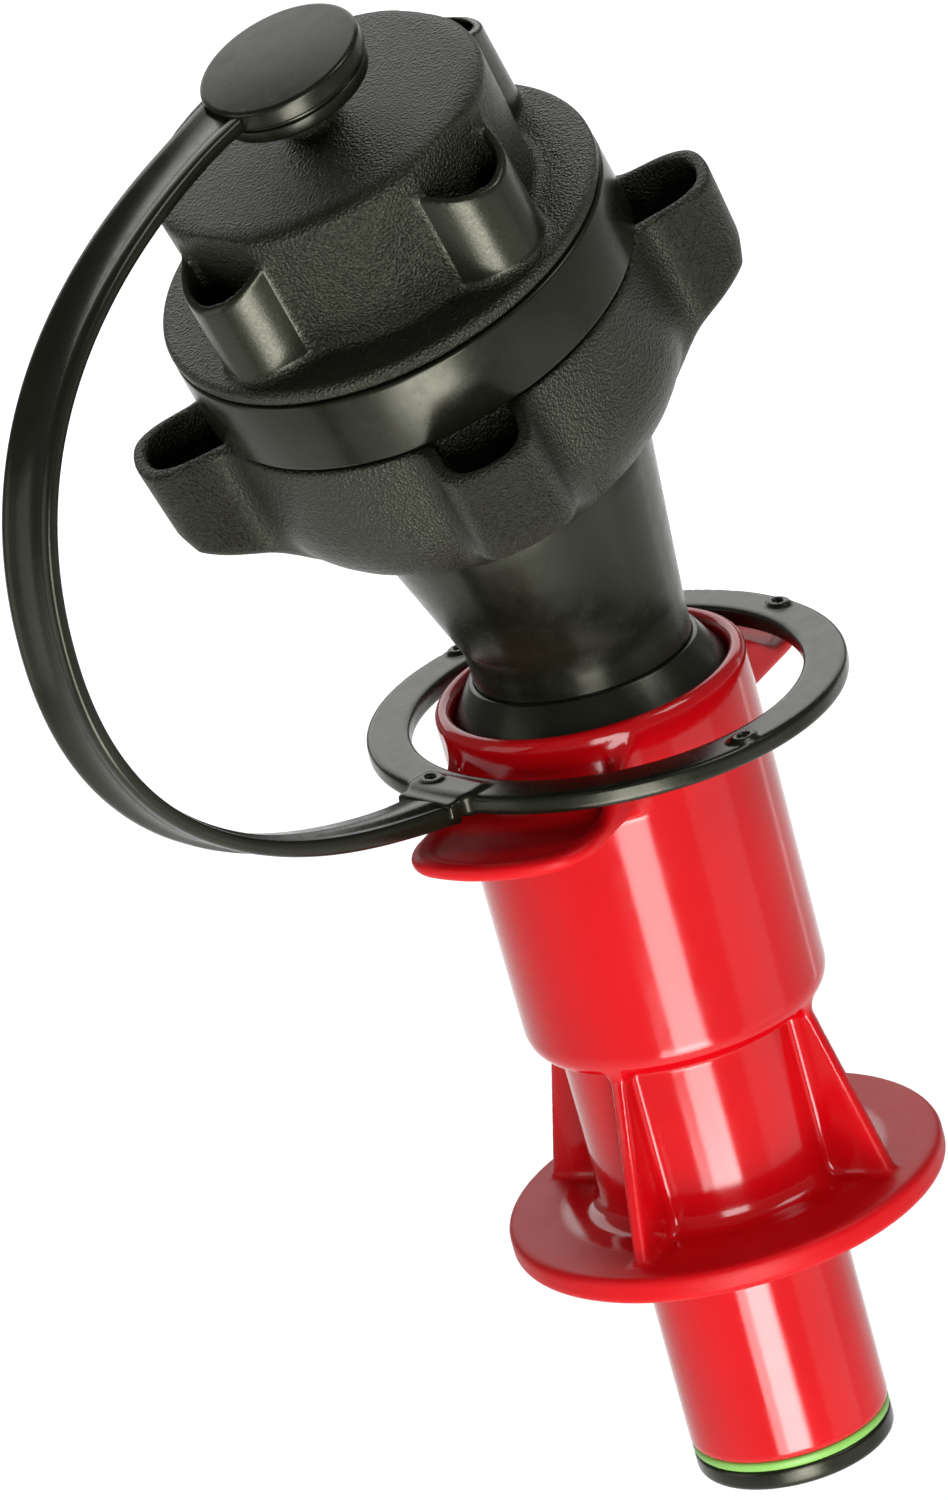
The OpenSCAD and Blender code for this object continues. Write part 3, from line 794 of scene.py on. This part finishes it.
RING_TILT = Matrix.Rotation(math.radians(1.4), 4, "Y") @ Matrix.Rotation(math.radians(2.7), 4, "X")
RING_PLACE = Matrix.Translation((1.3, -0.6, 88.3)) @ RING_TILT
RING_MID, RING_HALF = 23.9, 2.4
NUB_BEARINGS = (79, 168, 255, 347)


def ring_field(x, y, z):
    """The flat ring with the strap's tab and four hooked nubs."""
    rho = np.hypot(x, y)
    body = smax(np.abs(rho - RING_MID) - RING_HALF, np.abs(z + 1.1) - 1.1, 0.7)
    e, across = about(x, y, 174)
    tab = smax(np.abs(across) - 4.1, np.abs(z + 1.1) - 1.0, 0.6)
    tab = smax(tab, np.maximum(23.4 - e, e - 28.5), 0.6)
    body = smin(body, tab, 1.2)
    for bearing in NUB_BEARINGS:
        e, across = about(x, y, bearing)
        far = np.hypot(e - 24.6, across * 0.75)
        nub = smax(far - 1.15, np.abs(z + 0.5) - 1.0, 0.4)
        body = smax(smin(body, nub, 0.5), -smax(far - 0.5, -z - 0.1, 0.3), 0.3)
    return body


ring = moulded("ring_moulding", ring_field, (-30, -28, -3), (28, 28, 1.6), 0.3, RING_PLACE)
finish_piece(ring, SATIN, "black_satin", "sleeve", "tether_ring")

# ---------------------------------------------------------------- neck


def circle_z(r, z, around=128):
    """A circle about the spout's axis."""
    angles = [2 * math.pi * i / around for i in range(around)]
    return [np.array((r * math.cos(a), r * math.sin(a), z)) for a in angles]


def circle_nut(r, s):
    """A circle about the nut's axis."""
    return [np.array(TURN @ Vector(p)) for p in circle_z(r, s)]


def neck_mesh(blends=24):
    """The guide tube, the neck's tube, the ruled bend up to the nut, and the flange inside the nut."""
    low, high = circle_z(12.1, 96.9), circle_nut(16.4, 13.4)
    loops = [circle_z(*c) for c in ((10.75, 40), (10.75, 88), (12.05, 88.05), (12.05, 92), (12.1, 95.6))]
    for i in range(1, blends):
        t = i / blends
        loops.append([a + (b - a) * t for a, b in zip(low, high)])
    flange = ((16.4, 14.2), (16.4, 17.65), (19.0, 17.7), (19.0, 20.1), (14.4, 20.1), (14.4, 14))
    loops += [circle_nut(*c) for c in flange]
    loops += [circle_z(*c) for c in ((9.6, 96.5), (9.6, 86), (9.2, 86), (9.2, 40))]
    around = len(low)
    verts = [tuple(p) for loop in loops for p in loop]
    faces = []
    for i in range(len(loops)):
        j = (i + 1) % len(loops)
        for k in range(around):
            m = (k + 1) % around
            faces.append([i * around + k, i * around + m, j * around + m, j * around + k])
    return tidy_mesh(make("neck_moulding", verts, faces))


neck = neck_mesh()
finish_piece(neck, SATIN, "black_satin", "neck", "neck")

collar = lathe(
    "collar_moulding",
    rounded(
        [
            (10.8, 85),
            (15.05, 85),
            (15.05, 89.6),
            (12.6, 93.4),
            (12.12, 93.4),
            (12.12, 88),
            (10.8, 88),
        ],
        [0.2, 0.3, 0.5, 0.5, 0.1, 0.1, 0.1],
    ),
)
finish_piece(collar, SATIN, "black_satin", "neck", "neck_collar")

head = lathe(
    "head_moulding",
    rounded(
        [
            (1.3, -1.8),
            (3.3, -3.5),
            (11.15, -3.5),
            (11.15, -1.15),
            (9, -1.15),
            (9, 1.0),
            (8, 1.6),
            (2.3, 1.6),
            (2.3, -1.15),
            (1.3, -1.15),
        ],
        [0.1, 0.2, 0.8, 0.45, 0.1, 0.3, 0.3, 0.1, 0.1, 0.1],
    ),
)
finish_piece(head, SATIN, "black_satin", "neck", "valve_head")
green = lathe(
    "green_moulding",
    rounded([(9.4, -1.15), (11.15, -1.15), (11.15, -0.02), (9.4, -0.02)], [0.1, 0.5, 0.5, 0.1]),
)
finish_piece(green, SEAL_GREEN, "green_rubber", "neck", "valve_ring")

# ---------------------------------------------------------------- carried CAD nodes

for entry in frame["record"]["subparts"]:
    cad = frame["nodes"][entry["node"]]
    cad.data.materials.clear()
    cad.data.materials.append(SLOT_MATERIAL[entry["material_slot"]])

# The return spring shortens as the sleeve rises; a copy of it is made, tied to neither body, and its CAD
# node is hidden
coil = bpy.data.objects.new("spring_coil", frame["nodes"]["return_spring"].data.copy())
bpy.context.scene.collection.objects.link(coil)
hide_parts("return_spring")
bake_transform(coil)

# ---------------------------------------------------------------- floor, light and camera


WHITE = (1, 1, 1, 1)
FLOOR_Z = -0.26

bpy.ops.mesh.primitive_plane_add(size=8.0, location=(0, 0, FLOOR_Z))
floor = bpy.context.object
floor.name = "floor"
floor_look = Nodes("pale_floor", (0.86, 0.86, 0.86, 1), 0.7, Specular_IOR_Level=0.1)
floor_look.shader.inputs["Emission Color"].default_value = WHITE
floor_look.shader.inputs["Emission Strength"].default_value = 0.2
floor.data.materials.append(floor_look.done())

world = bpy.data.worlds.new("studio")
bpy.context.scene.world = world
world.use_nodes = True
sky = world.node_tree.nodes["Background"]
sky.inputs["Color"].default_value = WHITE
sky.inputs["Strength"].default_value = 0.2
bpy.context.scene.view_settings.view_transform = "Standard"


def area_light(name, size, radiance):
    """A rectangular light that the camera doesn't see. It faces down until it is turned."""
    data = bpy.data.lights.new(name, "AREA")
    data.shape = "RECTANGLE"
    data.size, data.size_y = size
    data.energy = radiance * math.pi * size[0] * size[1]
    light = bpy.data.objects.new(name, data)
    light.visible_camera = False
    bpy.context.scene.collection.objects.link(light)
    return light


# Each softbox looks at the middle of the part. Its bearing is degrees about +Z from +X, its height
# is degrees above the floor, and its distance and size are in metres.
MIDDLE = Vector((-0.01, 0, 0.09))
SOFTBOXES = [
    ("key", 226, -12, 0.48, (0.19, 0.46), 10.0),
    ("low", 222, -37, 0.42, (0.24, 0.1), 9.0),
    ("fill", 288, -30, 0.4, (0.24, 0.16), 0.5),
    ("card", 150, 4, 0.6, (0.42, 0.6), 1.1),
    ("rim", 352, -10, 0.7, (0.05, 0.5), 1.2),
    ("shoulder", 292, 48, 0.7, (0.24, 0.24), 6.0),
]
for name, bearing, height, distance, size, radiance in SOFTBOXES:
    a, e = math.radians(bearing), math.radians(height)
    off = Vector((math.cos(a) * math.cos(e), math.sin(a) * math.cos(e), math.sin(e)))
    light = area_light(name, size, radiance)
    light.location = MIDDLE + off * distance
    light.rotation_mode = "QUATERNION"
    light.rotation_quaternion = off.to_track_quat("Z", "Y")

area_light("panel", (2.0, 2.0), 1.75).location = (1.15, 1.13, 0.5)

# The camera as fitted to the photograph: its turn as an axis times an angle, and where the part's
# origin lies in front of it, in millimetres
CAMERA_TURN = Vector((-1.19943692, 0.32137615, 0.93060257))
CAMERA_SHIFT = Vector((34.73761872, -73.19634556, -1226.28332737))
to_camera = Matrix.Rotation(CAMERA_TURN.length, 3, CAMERA_TURN.normalized())
from_camera = to_camera.transposed()
cam_data = bpy.data.cameras.new("camera")
cam_data.sensor_width = 36
cam_data.sensor_fit = "AUTO"
cam_data.lens = 267.07
cam_data.clip_start, cam_data.clip_end = 0.05, 20
cam = bpy.data.objects.new("camera", cam_data)
cam.matrix_world = Matrix.Translation(-(from_camera @ CAMERA_SHIFT) * MM) @ from_camera.to_4x4()
bpy.context.scene.collection.objects.link(cam)
bpy.context.scene.camera = cam
